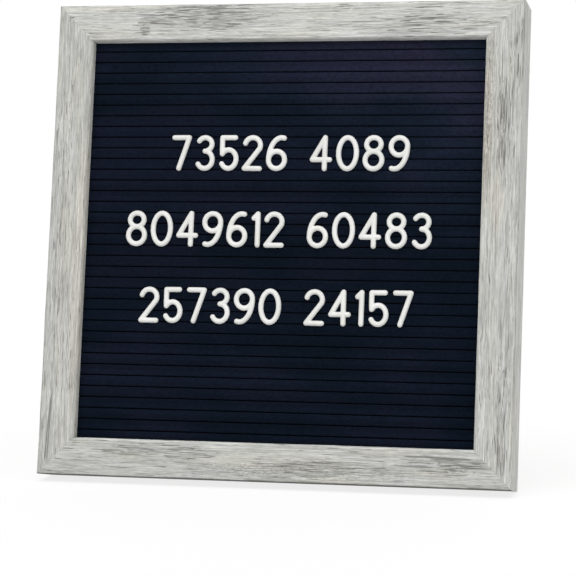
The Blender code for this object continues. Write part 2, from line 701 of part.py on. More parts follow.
def stance_offset():
    """How far back the footprint's middle lies from the board's front bottom edge."""
    front = EDGE_ROUND * (math.sin(LEAN) + math.cos(LEAN) - 1)
    rail_back = FRAME_SIDE * math.sin(LEAN) + FRAME_DEPTH * math.cos(LEAN)
    pin_back = HINGE_HEIGHT * math.sin(LEAN) + PIN_DEPTH * math.cos(LEAN)
    foot_drop = (PIN_ABOVE_GROUND + LEG_OUTER * math.sin(LEG_SLOPE)) / math.cos(LEG_SLOPE)
    foot_back = pin_back + LEG_OUTER * math.cos(LEG_SLOPE) + foot_drop * math.sin(LEG_SLOPE)
    return (front + max(rail_back, foot_back)) / 2


def build():
    empty_scene()
    materials = make_materials()
    board = add_empty("board_axes", None, (0.0, -stance_offset(), -GROUND), -LEAN)
    leg_turn = add_empty("leg_axes", board, (0.0, PIN_DEPTH, HINGE_HEIGHT), LEG_OPENING)
    make_frame(materials, board)
    make_sheets(materials, board)
    make_numerals(materials, board)
    make_hanger(materials, board)
    make_hinge(materials, board, leg_turn)
    make_leg(materials, leg_turn)
    bpy.context.view_layer.update()


build()
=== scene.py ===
# %% [markdown]
# A felt letter board, dressed for its portrait
#
# The solids of this board are already made: four mitred rails, a grooved felt panel, moulded
# numerals, the sheets behind them and a fold-out leg. This lesson keeps every one of them in its
# place and gives them what the solids leave out: embossed whitewash, matt felt, smooth
# plastic, plated steel and brown hardboard. Everything is in metres.

# %% Load the solids
import math
import random

import bmesh
import bpy
from mathutils import Euler, Matrix, Vector, noise


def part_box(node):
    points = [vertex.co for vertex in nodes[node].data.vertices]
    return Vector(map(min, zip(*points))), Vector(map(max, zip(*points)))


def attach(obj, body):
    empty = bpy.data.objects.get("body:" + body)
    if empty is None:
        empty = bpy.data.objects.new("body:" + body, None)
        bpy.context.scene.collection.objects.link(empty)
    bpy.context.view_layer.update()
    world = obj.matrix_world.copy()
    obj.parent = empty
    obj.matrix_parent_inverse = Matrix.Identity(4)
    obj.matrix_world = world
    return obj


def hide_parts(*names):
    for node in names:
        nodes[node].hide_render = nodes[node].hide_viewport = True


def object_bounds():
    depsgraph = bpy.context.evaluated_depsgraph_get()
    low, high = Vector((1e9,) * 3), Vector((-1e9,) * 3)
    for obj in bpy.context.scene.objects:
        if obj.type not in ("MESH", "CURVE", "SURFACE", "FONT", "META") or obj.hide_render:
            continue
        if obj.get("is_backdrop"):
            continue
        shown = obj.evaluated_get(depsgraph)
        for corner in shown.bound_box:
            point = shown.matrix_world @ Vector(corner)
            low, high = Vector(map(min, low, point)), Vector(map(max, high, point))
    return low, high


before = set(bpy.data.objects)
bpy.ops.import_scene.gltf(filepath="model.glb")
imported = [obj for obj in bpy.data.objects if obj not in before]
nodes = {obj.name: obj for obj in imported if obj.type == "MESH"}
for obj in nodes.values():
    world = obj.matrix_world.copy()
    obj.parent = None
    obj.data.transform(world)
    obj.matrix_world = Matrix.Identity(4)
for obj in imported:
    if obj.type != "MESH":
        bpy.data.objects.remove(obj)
cad_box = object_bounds()
scene = bpy.context.scene
MM = 0.001
corners = [[round(value / MM, 1) for value in corner] for corner in cad_box]
print(len(nodes), "solids, box in mm:", corners)

# %% [markdown]
# Where the board stands
#
# The board leans back ten degrees, so its length, width and depth aren't the scene's own axes.
# Every piece here is drawn upright first: X across, Y from the front face to the back, Z up from
# the bottom edge. One matrix then leans it back. The leg has its own matrix, at the hinge pin.
# Moving finished meshes with a matrix is simpler than working out each leaning corner.

# %% The board's axes and the leg's axes
LEAN = math.radians(10.0)
LEG_OPENING = math.radians(18.5)
BOARD_ORIGIN = Vector((0.0, -0.0411963, 0.0043414))
PIN_PLACE = Vector((0.0, 0.0246, 0.1750))
BOARD_AXES = Matrix.Translation(BOARD_ORIGIN) @ Matrix.Rotation(-LEAN, 4, "X")
LEG_AXES = BOARD_AXES @ Matrix.Translation(PIN_PLACE) @ Matrix.Rotation(LEG_OPENING, 4, "X")
AXES = {"board": BOARD_AXES, "leg": LEG_AXES}
FRAME_SIDE = 0.254
MIDDLE = FRAME_SIDE / 2
print("hinge pin at", [round(value, 4) for value in BOARD_AXES @ PIN_PLACE])

# %% [markdown]
# The camera
#
# The picture was taken from a little to the right of the board and a little above its middle.
# The frame's corners fix the angle: the turn shows in the width of the right side face, and the
# tilt in how far the bottom edge slants. A long lens keeps the sides nearly parallel.

# %% Place the camera
CAMERA_PLACE = (0.27429, -1.15357, 0.18091)
CAMERA_TURN = math.radians(13.322)
CAMERA_TILT = math.radians(3.778)
SENSOR_WIDTH_MM = 36.0
FOCAL_LENGTH_MM = 138.88
FARTHEST_SEEN = 50.0
lens = bpy.data.cameras.new("portrait lens")
lens.sensor_width = SENSOR_WIDTH_MM
lens.lens = FOCAL_LENGTH_MM
lens.clip_end = FARTHEST_SEEN
camera = bpy.data.objects.new("camera", lens)
camera.location = CAMERA_PLACE
camera.rotation_euler = Euler((math.pi / 2 - CAMERA_TILT, 0.0, CAMERA_TURN))
scene.collection.objects.link(camera)
scene.camera = camera
print("camera stands", round(camera.location.length, 2), "m from the board")

# %% [markdown]
# Studio light
#
# The board stands on a white table in a white room: the table reads white, and the front and
# the side face are almost equally bright. A white surround gives most of that light. Two
# wide suns shape it: the high one, in front, brightens what faces up and lets
# the pressed grain show, and the weaker one from the right keeps the side face as light as the
# front. A sun lights the far floor as much as the near floor, so no horizon shows. What the
# camera sees of the surround is pure white, whatever light it gives.

# %% White surround
WHITE = (1.0, 1.0, 1.0, 1.0)
SURROUND = 0.60
world = bpy.data.worlds.new("white surround")
scene.world = world
world.use_nodes = True
sky = world.node_tree
room = sky.nodes["Background"]
room.inputs["Color"].default_value = WHITE
room.inputs["Strength"].default_value = SURROUND
seen = sky.nodes.new("ShaderNodeBackground")
seen.inputs["Color"].default_value = WHITE
either = sky.nodes.new("ShaderNodeMixShader")
ray = sky.nodes.new("ShaderNodeLightPath")
sky.links.new(ray.outputs["Is Camera Ray"], either.inputs[0])
sky.links.new(room.outputs[0], either.inputs[1])
sky.links.new(seen.outputs[0], either.inputs[2])
sky.links.new(either.outputs[0], sky.nodes["World Output"].inputs["Surface"])
scene.view_settings.view_transform = "Standard"
print("surround gives", SURROUND)


# %% Two wide suns
def add_sun(name, towards, spread, strength):
    """A soft sun that shines from the given direction; spread is its width in degrees."""
    light = bpy.data.lights.new(name, "SUN")
    light.angle = math.radians(spread)
    light.energy = strength
    lamp = bpy.data.objects.new(name, light)
    lamp.rotation_euler = (-Vector(towards)).to_track_quat("-Z", "Y").to_euler()
    scene.collection.objects.link(lamp)


add_sun("high sun", towards=(-0.12, -0.55, 1.0), spread=50, strength=1.5)
add_sun("side sun", towards=(1.0, -0.45, 0.45), spread=60, strength=0.70)

# %% [markdown]
# A small kit for finishes
#
# A finish is a tree of nodes. Writing each node out in full hides what the finish does, so this
# helper adds a node, fills in its sockets and returns its output in one line. Patterns are
# laid out in metres on Object coordinates, so a grain line half a millimetre wide is half a
# millimetre wide on every piece.


# %% Node helper
class Finish:
    """A material in the making. Most methods add one kind of node and return its output."""

    def __init__(self, name):
        self.material = bpy.data.materials.new(name)
        self.material.use_nodes = True
        self.tree = self.material.node_tree
        self.shader = self.tree.nodes["Principled BSDF"]

    def add(self, kind, inputs, output=0, **settings):
        node = self.tree.nodes.new("ShaderNode" + kind)
        for key, value in settings.items():
            setattr(node, key, value)
        for key, value in inputs.items():
            if isinstance(value, bpy.types.NodeSocket):
                self.tree.links.new(value, node.inputs[key])
            else:
                node.inputs[key].default_value = value
        return node.outputs[output]

    def maths(self, operation, first, *others):
        """A chain of Math nodes, from left to right, with one node for each further value."""
        for other in others or (0.0,):
            first = self.add("Math", {0: first, 1: other}, operation=operation)
        return first

    def plus(self, *values):
        return self.maths("ADD", *values)

    def less(self, *values):
        return self.maths("SUBTRACT", *values)

    def times(self, *values):
        return self.maths("MULTIPLY", *values)

    def most(self, *values):
        return self.maths("MAXIMUM", *values)

    def band(self, value, low, high, start=0.0, end=1.0):
        """Takes low to start and high to end, smoothly, and stays level outside."""
        ends = {"From Min": low, "From Max": high, "To Min": start, "To Max": end}
        return self.add("MapRange", {"Value": value, **ends}, interpolation_type="SMOOTHSTEP")

    def noise(self, vector, sizes, seed=0.0, detail=3.0, roughness=0.5):
        """Soft noise whose lumps are as long in X, Y and Z as sizes says, in metres."""
        scale = tuple(1.0 / size for size in sizes)
        shift = (seed, seed * 1.7, -seed)
        moved = self.add("Mapping", {"Vector": vector, "Location": shift, "Scale": scale})
        look = {"Scale": 1.0, "Detail": detail, "Roughness": roughness}
        return self.add("TexNoise", {"Vector": moved, **look})

    def blend(self, share, first, second, how="MIX"):
        settings = {"data_type": "RGBA", "blend_type": how, "clamp_factor": True}
        return self.add("Mix", {0: share, 6: first, 7: second}, output=2, **settings)

    def place(self):
        """Object coordinates, in metres."""
        return self.add("TexCoord", {}, output=3)

    def on_board(self):
        """Object coordinates turned into the board's own: across, depth, height."""
        shift = BOARD_AXES.inverted().translation
        turn = {"Location": shift, "Rotation": (LEAN, 0.0, 0.0)}
        return self.add("Mapping", {"Vector": self.place(), **turn})

    def bump(self, height, depth, strength=1.0):
        bumped = self.add("Bump", {"Height": height, "Distance": depth, "Strength": strength})
        self.tree.links.new(bumped, self.shader.inputs["Normal"])

    def link(self, **sockets):
        for key, value in sockets.items():
            self.tree.links.new(value, self.shader.inputs[key.replace("_", " ")])

    def fix(self, **sockets):
        for key, value in sockets.items():
            self.shader.inputs[key.replace("_", " ")].default_value = value


def tint(level, red=1.0, blue=1.0):
    """A near-grey colour with its red and blue raised or lowered against its green."""
    return (level * red, level, level * blue, 1.0)


print("ready to mix finishes")

# %% [markdown]
# Whitewashed wood
#
# The rails have a weathered grey-white coat: a pale film, thin where the grain was pressed in,
# so fine dark dashes run along each rail. Some stretches have hardly any, others are full of
# them, and a few blotches show the dark wood underneath. A photograph of wood would repeat and
# can't be used here, so the finish is built from noise stretched along the grain, in layers from
# coarse to fine: cloudy tone, warm and cool drifts, long streaks, short dark dashes and single
# long cracks. Each rail has its own seed and its own patches. On the back the coat laps
# over the edge by a few millimetres and bare pine shows beyond it.
# Painted light too: shade and highlights on the sight edges, a shadow under the bottom rail.

# %% Patterns along the grain
LEVEL_SIDES = ("bottom", "top")
GRAIN_SWAY = 0.0018
# Each pattern is (length, width of its lumps, seed offset, detail, roughness).
PATTERNS = {
    "cloud": (0.040, 0.0050, 1.3, 2.0, 0.5),
    "streak": (0.050, 0.0011, 2.1, 3.0, 0.6),
    "thread": (0.016, 0.00050, 3.7, 3.0, 0.7),
    "pore": (0.0125, 0.00048, 4.9, 1.0, 0.5),
    "wear": (0.030, 0.005, 5.5, 2.0, 0.5),
    "drift": (0.060, 0.006, 6.1, 2.0, 0.5),
    "short": (0.0022, 0.00075, 7.3, 2.0, 0.6),
    "year": (0.09, 0.0022, 8.0, 2.0, 0.5),
    "figure": (0.050, 0.0048, 9.1, 1.0, 0.5),
    "gap": (0.012, 0.0016, 9.9, 2.0, 0.5),
    "fine": (0.0034, 0.00042, 10.7, 2.0, 0.6),
}


class RailFinish(Finish):
    """A finish that knows each point's place on its rail, and the wood's patterns there.

    The place is along the rail, inwards from its outer edge, and in depth from the face.
    """

    def __init__(self, side, seed):
        super().__init__(f"whitewashed wood {side}")
        split = self.add("SeparateXYZ", {0: self.on_board()}).node
        across, self.depth, height = split.outputs
        if side in LEVEL_SIDES:
            self.along = across
            self.inwards = height if side == "bottom" else self.less(FRAME_SIDE, height)
        else:
            self.along = self.less(height, MIDDLE)
            self.inwards = self.plus(self.times(across, 1.0 if side == "left" else -1.0), MIDDLE)
        straight = self.add("CombineXYZ", {0: self.along, 1: self.inwards, 2: self.depth})
        sway = self.less(self.noise(straight, (0.035, 0.010, 0.010), seed, 2.0), 0.5)
        self.swayed = self.plus(self.inwards, self.times(sway, GRAIN_SWAY))
        grain = self.add("CombineXYZ", {0: self.along, 1: self.swayed, 2: self.depth})
        self.pattern = {}
        for name, (length, width, offset, detail, roughness) in PATTERNS.items():
            sizes = (length, width, width)
            self.pattern[name] = self.noise(grain, sizes, seed + offset, detail, roughness)


print(len(PATTERNS), "patterns in the wood")


# %% Soft ovals and thin cracks
def oval(rail, place, reach):
    """A soft oval mask around a place on the rail, 1 in its middle."""
    squares = []
    for value, centre, half in zip((rail.along, rail.inwards), place, reach):
        offset = rail.maths("DIVIDE", rail.less(value, centre), half)
        squares.append(rail.times(offset, offset))
    return rail.band(rail.plus(*squares), 1.0, 0.1)


def ovals(rail, places, base=0.0):
    """The greatest of a base mask and soft ovals, each a (place, reach, strength)."""
    for place, reach, strength in places:
        base = rail.most(base, rail.times(oval(rail, place, reach), strength))
    return base


def cracks_mask(rail, cracks):
    """Thin cracks, each (from, to, inwards there, inwards there, width)."""
    mask = 0.0
    for start, end, start_in, end_in, width in cracks:
        line = rail.band(rail.along, start, end, start_in, end_in)
        off = rail.maths("ABSOLUTE", rail.less(rail.swayed, line))
        middle, half = (start + end) / 2, abs(end - start) / 2
        far = rail.maths("ABSOLUTE", rail.less(rail.along, middle))
        near = rail.times(rail.band(off, width, width * 0.3), rail.band(far, half, half * 0.8))
        mask = rail.most(mask, near)
    return mask


# %% Where the coat is worn
def pressed_share(rail, rough):
    """How far the grain was pressed in, by chance and at the rail's own rough places."""
    on_face = rail.band(rail.depth, 0.0055, 0.0010)
    by_chance = rail.band(rail.pattern["wear"], 0.50, 0.72, 0.10, 0.55)
    return rail.most(by_chance, rail.times(ovals(rail, rough), on_face))


def bare_share(rail, pressed, specked, cracks):
    """How much dark wood shows: dashes, broken rings, specks, cracks and a worn arris."""
    pattern = rail.pattern
    limit = rail.band(pressed, 0.0, 1.0, 0.70, 0.570)
    dashes = rail.band(rail.less(pattern["pore"], limit), 0.0, 0.035)
    turns = rail.maths("FRACT", rail.times(pattern["figure"], 17.0))
    rings = rail.band(rail.maths("ABSOLUTE", rail.less(turns, 0.5)), 0.13, 0.03)
    broken = rail.times(rings, rail.band(pattern["gap"], 0.48, 0.60))
    rings = rail.times(broken, rail.band(pressed, 0.25, 0.9, 0.10, 0.95))
    specks = rail.times(rail.band(pattern["short"], 0.50, 0.62), ovals(rail, specked))
    splits = cracks_mask(rail, cracks)
    parts = ((dashes, 0.78), (rings, 0.62), (specks, 0.42), (splits, 0.72))
    bare = rail.most(*(rail.times(mask, share) for mask, share in parts))
    by_side = rail.band(rail.inwards, 0.0011, 0.0004)
    arris = rail.times(by_side, rail.band(rail.depth, 0.0013, 0.0005))
    return rail.most(bare, rail.times(arris, rail.band(pattern["streak"], 0.62, 0.40, 0.0, 0.30)))


# %% The whitewash
DARK_WOOD = tint(0.125, 1.05, 0.88)
# A painted contact shadow for the bottom rail's lowest edge.
PAINTED_CONTACT_SHADOW = tint(0.045, 1.05, 0.88)


def coat_colour(rail, level, sight, pressed, warm):
    """The film itself: its tone from coarse to fine, painted light on the sight edge and warm
    drifts.
    """
    pattern = rail.pattern
    cloud = rail.band(pattern["cloud"], 0.30, 0.70, 0.94, 1.05)
    streaks = rail.band(pattern["streak"], 0.34, 0.66, 0.87, 1.08)
    threads = rail.band(pattern["thread"], 0.37, 0.63, 0.77, 1.14)
    fine = rail.band(pattern["fine"], 0.34, 0.66, 0.90, 1.09)
    worn = rail.band(pressed, 0.3, 1.0, 1.0, 0.93)
    # Painted light: sight makes the sight edge darker as painted shade where below 1, lighter as
    # a painted highlight where above 1.
    by_felt = rail.band(rail.inwards, 0.0186, 0.0191)
    edge = rail.times(by_felt, rail.band(rail.depth, 0.0016, 0.0012))
    sight_edge_painted_light = rail.band(edge, 0.0, 1.0, 1.0, sight)
    shade = rail.times(cloud, streaks, threads, fine, worn, sight_edge_painted_light)
    drift = ovals(rail, warm, rail.band(pattern["drift"], 0.45, 0.70, 0.0, 0.5))
    coat = rail.blend(drift, tint(level, 0.990, 0.950), tint(level * 1.01, 1.035, 0.90))
    shades = rail.add("CombineXYZ", {0: shade, 1: shade, 2: shade})
    return rail.blend(1.0, coat, shades, "MULTIPLY")


def make_whitewash(side, seed, level, sight, rough, specked, warm, cracks):
    rail = RailFinish(side, seed)
    streak, thread = rail.pattern["streak"], rail.pattern["thread"]
    pressed = pressed_share(rail, rough)
    bare = bare_share(rail, pressed, specked, cracks)
    colour = rail.blend(bare, coat_colour(rail, level, sight, pressed, warm), DARK_WOOD)
    # Painted shadow: the bottom rail goes dark along its underside and lowest edge, where it
    # meets the floor.
    if side == "bottom":
        colour = rail.blend(rail.band(rail.inwards, 0.00055, 0.00020), colour, PAINTED_CONTACT_SHADOW)
    lap = rail.band(rail.plus(rail.inwards, rail.times(streak, 0.004)), 0.0035, 0.0065)
    pine = rail.times(rail.band(rail.depth, 0.0242, 0.0249), lap)
    year = rail.band(rail.pattern["year"], 0.40, 0.62)
    wood = rail.blend(year, (0.50, 0.33, 0.17, 1.0), (0.36, 0.21, 0.10, 1.0))
    roughness = rail.band(streak, 0.3, 0.7, 0.72, 0.52)
    rail.link(Base_Color=rail.blend(pine, colour, wood), Roughness=roughness)
    rail.fix(Specular_IOR_Level=0.35)
    relief = rail.plus(rail.times(streak, 0.6), rail.times(thread, 0.5))
    rail.bump(rail.less(relief, rail.times(bare, 1.1)), 0.00030)
    return rail.material


# %% Each rail's own places
# A place is ((along, inwards), (half length, half width), strength), in metres.
# sight is painted light on the sight edge: painted shade on the top and left rails, a painted
# highlight on the right and bottom.
RAIL_LOOKS = {
    "top": dict(
        seed=3.0, level=0.54, sight=0.80,
        rough=[((-0.045, 0.007), (0.045, 0.012), 0.9), ((-0.078, 0.014), (0.004, 0.005), 1.0),
               ((0.080, 0.012), (0.045, 0.008), 0.7)],
        specked=[((-0.078, 0.0125), (0.003, 0.005), 1.0)],
        warm=[],
        cracks=[]),
    "left": dict(
        seed=11.0, level=0.485, sight=0.86,
        rough=[((-0.10, 0.002), (0.06, 0.003), 0.5), ((0.00, 0.007), (0.09, 0.006), 0.55)],
        specked=[],
        warm=[((-0.02, 0.018), (0.11, 0.006), 0.8), ((0.00, 0.010), (0.05, 0.006), 0.5)],
        cracks=[(-0.121, -0.085, 0.0041, 0.0059, 0.0005),
                (-0.121, -0.080, 0.0054, 0.0066, 0.0003)]),
    "right": dict(
        seed=19.0, level=0.50, sight=1.06,
        rough=[((0.060, 0.0095), (0.040, 0.0050), 1.0), ((0.100, 0.002), (0.025, 0.005), 0.9),
               ((-0.085, 0.006), (0.06, 0.005), 0.75)],
        specked=[((0.070, 0.0175), (0.055, 0.0035), 1.0), ((0.055, 0.009), (0.012, 0.003), 1.0)],
        warm=[((0.060, 0.018), (0.06, 0.0045), 1.0), ((0.020, 0.012), (0.02, 0.005), 0.8)],
        cracks=[]),
    "bottom": dict(
        seed=29.0, level=0.478, sight=1.16,
        rough=[((0.095, 0.011), (0.030, 0.006), 1.0), ((-0.060, 0.014), (0.05, 0.006), 0.75),
               ((0.030, 0.008), (0.05, 0.006), 0.7)],
        specked=[((0.015, 0.006), (0.085, 0.006), 0.8), ((0.098, 0.010), (0.012, 0.004), 1.0)],
        warm=[((0.0, 0.010), (0.06, 0.006), 0.5)],
        cracks=[(0.070, 0.108, 0.0152, 0.0148, 0.0006)]),
}
WHITEWASH = {side: make_whitewash(side, **look) for side, look in RAIL_LOOKS.items()}
print(len(WHITEWASH), "rails' finishes")

# %% [markdown]
# The four rails
#
# The solids' rails have exact, sharp edges. Real wrapped or painted wood never has: the coat
# fills the sharp corners and knocks leave them slightly uneven. A new rail could be
# extruded again from its profile, but the slots for the corner nails would be lost, so each
# rail starts as a copy of its solid. The copy's loose triangles are merged into whole faces,
# its long front edges get a small bevel, and planes slice it into short lengths, so that
# noise can press the surface in by a few hundredths of a millimetre.


# %% Copies of solids
def upright_copy(node, body):
    """The node's mesh as a bmesh in upright axes, with its flat faces whole again."""
    bm = bmesh.new()
    bm.from_mesh(nodes[node].data)
    bmesh.ops.remove_doubles(bm, verts=bm.verts, dist=1e-6)
    bmesh.ops.transform(bm, matrix=AXES[body].inverted(), verts=bm.verts)
    flat = math.radians(0.6)
    bmesh.ops.dissolve_limit(bm, angle_limit=flat, verts=bm.verts, edges=bm.edges)
    return bm


def finished(name, bm, body, look, node, sharp=35.0):
    """Leans an upright bmesh back, hangs it on the body it rides on and hides the solid it stands
    for.

    The look is a material and a slot name; the slot name is not used.
    """
    bmesh.ops.dissolve_degenerate(bm, dist=1e-6, edges=bm.edges)
    bmesh.ops.transform(bm, matrix=AXES[body], verts=bm.verts)
    mesh = bpy.data.meshes.new(name)
    bm.to_mesh(mesh)
    bm.free()
    material, slot = look
    mesh.materials.clear()
    mesh.materials.append(material)
    mesh.shade_smooth()
    mesh.set_sharp_from_angle(angle=math.radians(sharp))
    piece = bpy.data.objects.new(name, mesh)
    scene.collection.objects.link(piece)
    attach(piece, body)
    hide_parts(node)
    return piece


# %% Everyday operations
def everything(bm):
    return bm.verts[:] + bm.edges[:] + bm.faces[:]


def cut_at(bm, point, normal):
    bmesh.ops.bisect_plane(bm, geom=everything(bm), plane_co=point, plane_no=normal, dist=1e-7)


def bevel(bm, edges, width, segments, clamp=False):
    bmesh.ops.bevel(bm, geom=edges, offset=width, segments=segments, profile=0.5,
                    affect="EDGES", material=-1, clamp_overlap=clamp)


def add_block(bm, centre, size):
    """A block of the given size; its corners are returned."""
    place = Matrix.Translation(centre) @ Matrix.Diagonal((*size, 1.0))
    return bmesh.ops.create_cube(bm, size=1.0, matrix=place)["verts"]


# %% Where a rail is shaped
MITRE_GAP = 0.00021
MITRE_SLIDE = 0.88
LIP_DEPTH = 0.0049


def rail_place(side, across, height):
    """(along the rail, in from its outer edge) of an upright point."""
    if side in LEVEL_SIDES:
        return across, height if side == "bottom" else FRAME_SIDE - height
    return height - MIDDLE, MIDDLE + across if side == "left" else MIDDLE - across


def is_front_edge(edge, side):
    """Whether a sharp edge runs along the rail in front of the rabbet."""
    first, last = (vert.co for vert in edge.verts)
    run = (last - first).normalized()
    along_rail = abs(run.x) if side in LEVEL_SIDES else abs(run.z)
    in_front = max(first.y, last.y) < LIP_DEPTH
    return along_rail > 0.99 and in_front and edge.calc_face_angle(0.0) > math.radians(30)


def close_mitres(bm, side):
    """Slides both ends of a rail outwards until they all but touch their neighbours."""
    run = Vector((1, 0, 0)) if side in LEVEL_SIDES else Vector((0, 0, 1))
    for vert in bm.verts:
        along, inwards = rail_place(side, vert.co.x, vert.co.z)
        if MIDDLE - inwards - abs(along) < MITRE_GAP * 1.1:
            vert.co += run * math.copysign(MITRE_GAP * MITRE_SLIDE, along)


def may_be_pressed(along, inwards, depth):
    """Leaves the back, the inside of the sight edge, the rabbet and the mitres as they are."""
    at_back = depth > 0.0235
    in_sight = inwards > 0.0197 and depth > 0.0025
    in_rabbet = inwards > 0.0135 and depth > 0.0045
    at_mitre = MIDDLE - inwards - abs(along) < 0.0012
    return not (at_back or in_sight or in_rabbet or at_mitre)


# %% Finer rails
ARRIS = 0.00035
SLICE = 0.0022
FIRST_STRIP, STRIP, STRIPS = 0.002, 0.0012, 13
LAYER, LAYERS = 0.003, 7
PRESS = 0.00010
EDGE_ZONE = 0.0014
EDGE_PRESS = 1.7


def slice_rail(bm, side):
    """Cuts the rail across, lengthwise and in depth, so that its faces are small."""
    across, up = (1, 0, 0), (0, 0, 1)
    level = side in LEVEL_SIDES
    for step in range(1, int(FRAME_SIDE / SLICE)):
        place = step * SLICE
        cut_at(bm, (place - MIDDLE, 0, 0) if level else (0, 0, place), across if level else up)
    for step in range(1, STRIPS + 1):
        inwards = FIRST_STRIP + step * STRIP
        place = {"bottom": inwards, "top": FRAME_SIDE - inwards,
                 "left": inwards - MIDDLE, "right": MIDDLE - inwards}[side]
        cut_at(bm, (0, 0, place) if level else (place, 0, 0), up if level else across)
    for step in range(1, LAYERS + 1):
        cut_at(bm, (0, step * LAYER, 0), (0, 1, 0))


def press_rail(bm, side, seed):
    """Presses the surface in by noise, a little more along the outer front edge."""
    bm.normal_update()
    for vert in bm.verts:
        along, inwards = rail_place(side, vert.co.x, vert.co.z)
        depth = vert.co.y
        if may_be_pressed(along, inwards, depth):
            lumps = noise.noise(Vector((along * 60 + seed, inwards * 500, depth * 500)))
            waves = noise.noise(Vector((along * 25, inwards * 90 + seed, depth * 90)))
            pressed = PRESS * max(0.0, 0.55 + lumps + 0.6 * waves)
            at_edge = inwards < EDGE_ZONE and depth < EDGE_ZONE
            vert.co -= vert.normal * pressed * (EDGE_PRESS if at_edge else 1.0)


def make_rail(side, seed):
    bm = upright_copy(f"frame_rail_{side}", "board")
    bevel(bm, [edge for edge in bm.edges if is_front_edge(edge, side)], ARRIS, 3)
    slice_rail(bm, side)
    close_mitres(bm, side)
    press_rail(bm, side, seed)
    look = (WHITEWASH[side], "whitewashed_wood")
    piece = finished(f"rail_{side}", bm, "board", look, f"frame_rail_{side}")
    print(piece.name, len(piece.data.polygons), "faces")


for place, side in enumerate(("bottom", "right", "top", "left")):
    make_rail(side, 7.0 * place)

# %% [markdown]
# The felt panel
#
# Behind the felt is a grooved board: flat ribs about five millimetres wide with a narrow slot
# between them, and the felt is pressed round each rib. The pile closes the mouth of a slot to
# little more than half a millimetre, so it's drawn narrower here than in the solid. It could be
# one profile pushed sideways, but starting from a plain slab and pushing the slots in shows the
# idea better: planes mark where each slot begins and ends, the strips between them are pushed
# back, and a bevel rounds the ribs' shoulders. Slices across let noise make the cloth
# a little uneven.

# %% Felt sizes
PANEL_FRONT = 0.0053
PANEL_THICKNESS = 0.0070
SHEET_HALF = 0.1125
GROOVE_PITCH = 0.00585
GROOVE_WIDTH = 0.0006
GROOVE_DEPTH = 0.0035
GROOVES = 38
RIB_ROUND = 0.00045
CLOTH_SLICES = 56
CLOTH_PRESS = 0.00007
slot_heights = [MIDDLE + (step - GROOVES / 2 + 0.5) * GROOVE_PITCH for step in range(GROOVES)]
print(GROOVES, "slots, a rib is", round((GROOVE_PITCH - GROOVE_WIDTH) / MM, 2), "mm high")


# %% Felt
def make_felt():
    finish = Finish("dark felt")
    place = finish.on_board()
    across, _, height = finish.add("SeparateXYZ", {0: place}).node.outputs
    rib = finish.maths("DIVIDE", finish.less(height, MIDDLE), GROOVE_PITCH)
    rib = finish.maths("FLOOR", rib)
    rib_tone = finish.add("TexWhiteNoise", {"W": rib}, noise_dimensions="1D")
    wide = finish.noise(place, (0.060, 0.060, 0.030), 1.0, 2.0)
    nap = finish.noise(place, (0.0018, 0.0010, 0.0009), 2.0, 4.0, 0.7)
    fibre = finish.noise(place, (0.0006, 0.00016, 0.00016), 3.0, 2.0, 0.7)
    # Painted light: toward the top and the top right the felt gets about twice as light, redder
    # and a little greener, as a painted sheen.
    corner = finish.plus(finish.times(across, 0.5), height)
    tone = finish.times(
        finish.band(wide, 0.3, 0.7, 0.80, 1.2),
        finish.band(nap, 0.3, 0.7, 0.7, 1.35),
        finish.band(rib_tone, 0.0, 1.0, 0.88, 1.12),
        finish.band(corner, 0.14, 0.30, 0.92, 2.0),
    )
    red = finish.times(tone, finish.band(corner, 0.14, 0.30, 1.0, 1.5))
    green = finish.times(tone, finish.band(corner, 0.14, 0.30, 1.0, 1.1))
    tones_and_painted_sheen = finish.add("CombineXYZ", {0: red, 1: green, 2: tone})
    patches = finish.band(wide, 0.35, 0.65)
    dark = finish.blend(patches, (0.0033, 0.0069, 0.0140, 1.0), (0.0045, 0.0064, 0.0140, 1.0))
    colour = finish.blend(1.0, dark, tones_and_painted_sheen, "MULTIPLY")
    hair = finish.band(fibre, 0.66, 0.80, 0.0, 0.5)
    finish.link(Base_Color=finish.blend(hair, colour, (0.030, 0.036, 0.055, 1.0)))
    finish.fix(Roughness=1.0, Specular_IOR_Level=0.03, Sheen_Weight=0.03, Sheen_Roughness=0.6)
    finish.fix(Sheen_Tint=(0.55, 0.62, 0.85, 1.0))
    finish.bump(finish.plus(nap, finish.times(fibre, 0.6)), 0.0002, 0.7)
    return finish.material


FELT = (make_felt(), "dark_felt")
print("mixed:", FELT[0].name)

# %% Slab, slots and rounded ribs
bm = bmesh.new()
centre = Vector((0.0, PANEL_FRONT + PANEL_THICKNESS / 2, MIDDLE))
add_block(bm, centre, (2 * SHEET_HALF, PANEL_THICKNESS, 2 * SHEET_HALF))
for height in slot_heights:
    for side in (-1, 1):
        cut_at(bm, (0, 0, height + side * GROOVE_WIDTH / 2), (0, 0, 1))


def from_slot(height):
    """How far a height is from the middle of the nearest slot."""
    return min(abs(height - slot) for slot in slot_heights)


def is_mouth(face):
    height = face.calc_center_median().z
    return face.normal.y < -0.9 and from_slot(height) < GROOVE_WIDTH / 2 - 1e-5


def is_shoulder(edge):
    first, last = (vert.co for vert in edge.verts)
    in_front = max(abs(first.y - PANEL_FRONT), abs(last.y - PANEL_FRONT)) < 1e-6
    level = abs(first.z - last.z) < 1e-6
    return in_front and level and abs(from_slot(first.z) - GROOVE_WIDTH / 2) < 1e-6


mouths = [face for face in bm.faces if is_mouth(face)]
pushed = bmesh.ops.extrude_face_region(bm, geom=mouths)["geom"]
back = [item for item in pushed if isinstance(item, bmesh.types.BMVert)]
bmesh.ops.translate(bm, verts=back, vec=(0, GROOVE_DEPTH, 0))
bmesh.ops.delete(bm, geom=mouths, context="FACES_ONLY")
shoulders = [edge for edge in bm.edges if is_shoulder(edge)]
bevel(bm, shoulders, RIB_ROUND, 4)
print(len(shoulders), "shoulders rounded,", len(bm.faces), "faces")

